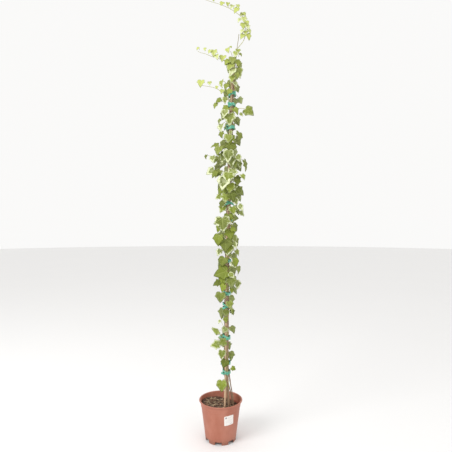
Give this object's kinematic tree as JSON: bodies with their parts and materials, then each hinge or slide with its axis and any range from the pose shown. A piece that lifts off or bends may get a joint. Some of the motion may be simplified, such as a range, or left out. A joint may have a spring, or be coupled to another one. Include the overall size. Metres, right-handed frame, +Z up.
{
  "type": "potted ivy",
  "caption": "Tall climbing ivy trained up two bamboo canes with tape ties, planted in soil in a tapered plastic nursery pot with a footed base.",
  "frame": {"origin": "centre of the pot's foot on the standing surface, on the pot's axis", "axes": "+Z up along the pot's axis; -Y is the front, the side with the label a little to its right; +X to the right seen from the front"},
  "size_m": [0.2275, 0.172, 1.7489],
  "materials": {
    "pot_plastic": "satin terracotta-coloured plastic",
    "soil": "rough, moist peat and bark",
    "label": "matt paper, blank printed bars",
    "bamboo": "smooth dry bamboo",
    "stem_bark": "rough bark with rootlets",
    "tape": "satin turquoise tape",
    "ivy_foliage": "satin leaf, variegated",
    "young_shoot": "satin pale young leaf"
  },
  "bodies": {
    "root": {"nursery_pot": "pot_plastic", "potting_soil": "soil", "pot_label": "label", "bamboo_cane_left": "bamboo", "bamboo_cane_right": "bamboo", "vine_stem_right": "stem_bark", "vine_stem_left": "stem_bark", "vine_stem_front": "stem_bark", "vine_stem_back": "stem_bark", "leader_shoot": "young_shoot", "leafy_shoot_back_01": "ivy_foliage", "leafy_shoot_back_02": "ivy_foliage", "leafy_shoot_back_03": "ivy_foliage", "leafy_shoot_back_04": "ivy_foliage", "leafy_shoot_back_05": "ivy_foliage", "leafy_shoot_back_06": "ivy_foliage", "leafy_shoot_back_07": "ivy_foliage", "leafy_shoot_back_08": "ivy_foliage", "leafy_shoot_back_09": "ivy_foliage", "leafy_shoot_back_10": "ivy_foliage", "leafy_shoot_back_11": "ivy_foliage", "leafy_shoot_front_01": "ivy_foliage", "leafy_shoot_front_02": "ivy_foliage", "leafy_shoot_front_03": "ivy_foliage", "leafy_shoot_front_04": "ivy_foliage", "leafy_shoot_front_05": "ivy_foliage", "leafy_shoot_front_06": "ivy_foliage", "leafy_shoot_front_07": "ivy_foliage", "leafy_shoot_front_08": "ivy_foliage", "leafy_shoot_front_09": "ivy_foliage", "leafy_shoot_front_10": "ivy_foliage", "leafy_shoot_front_11": "ivy_foliage", "leafy_shoot_front_12": "ivy_foliage", "leafy_shoot_front_13": "ivy_foliage", "leafy_shoot_front_14": "ivy_foliage", "leafy_shoot_front_15": "ivy_foliage", "leafy_shoot_front_16": "ivy_foliage", "leafy_shoot_front_17": "ivy_foliage", "leafy_shoot_front_18": "ivy_foliage", "leafy_shoot_front_19": "ivy_foliage", "leafy_shoot_front_20": "ivy_foliage", "leafy_shoot_front_21": "ivy_foliage", "leafy_shoot_front_22": "ivy_foliage", "leafy_shoot_front_23": "ivy_foliage", "leafy_shoot_front_24": "ivy_foliage", "side_shoot_lower": "young_shoot", "side_shoot_upper": "young_shoot", "tape_tie_01": "tape", "tape_tie_02": "tape", "tape_tie_03": "tape", "tape_tie_04": "tape", "tape_tie_05": "tape", "tape_tie_06": "tape", "tape_tie_07": "tape", "tape_tie_08": "tape", "tape_tie_09": "tape", "tape_tie_10": "tape", "tape_tie_11": "tape", "top_shoot": "young_shoot"}
  },
  "joints": []
}
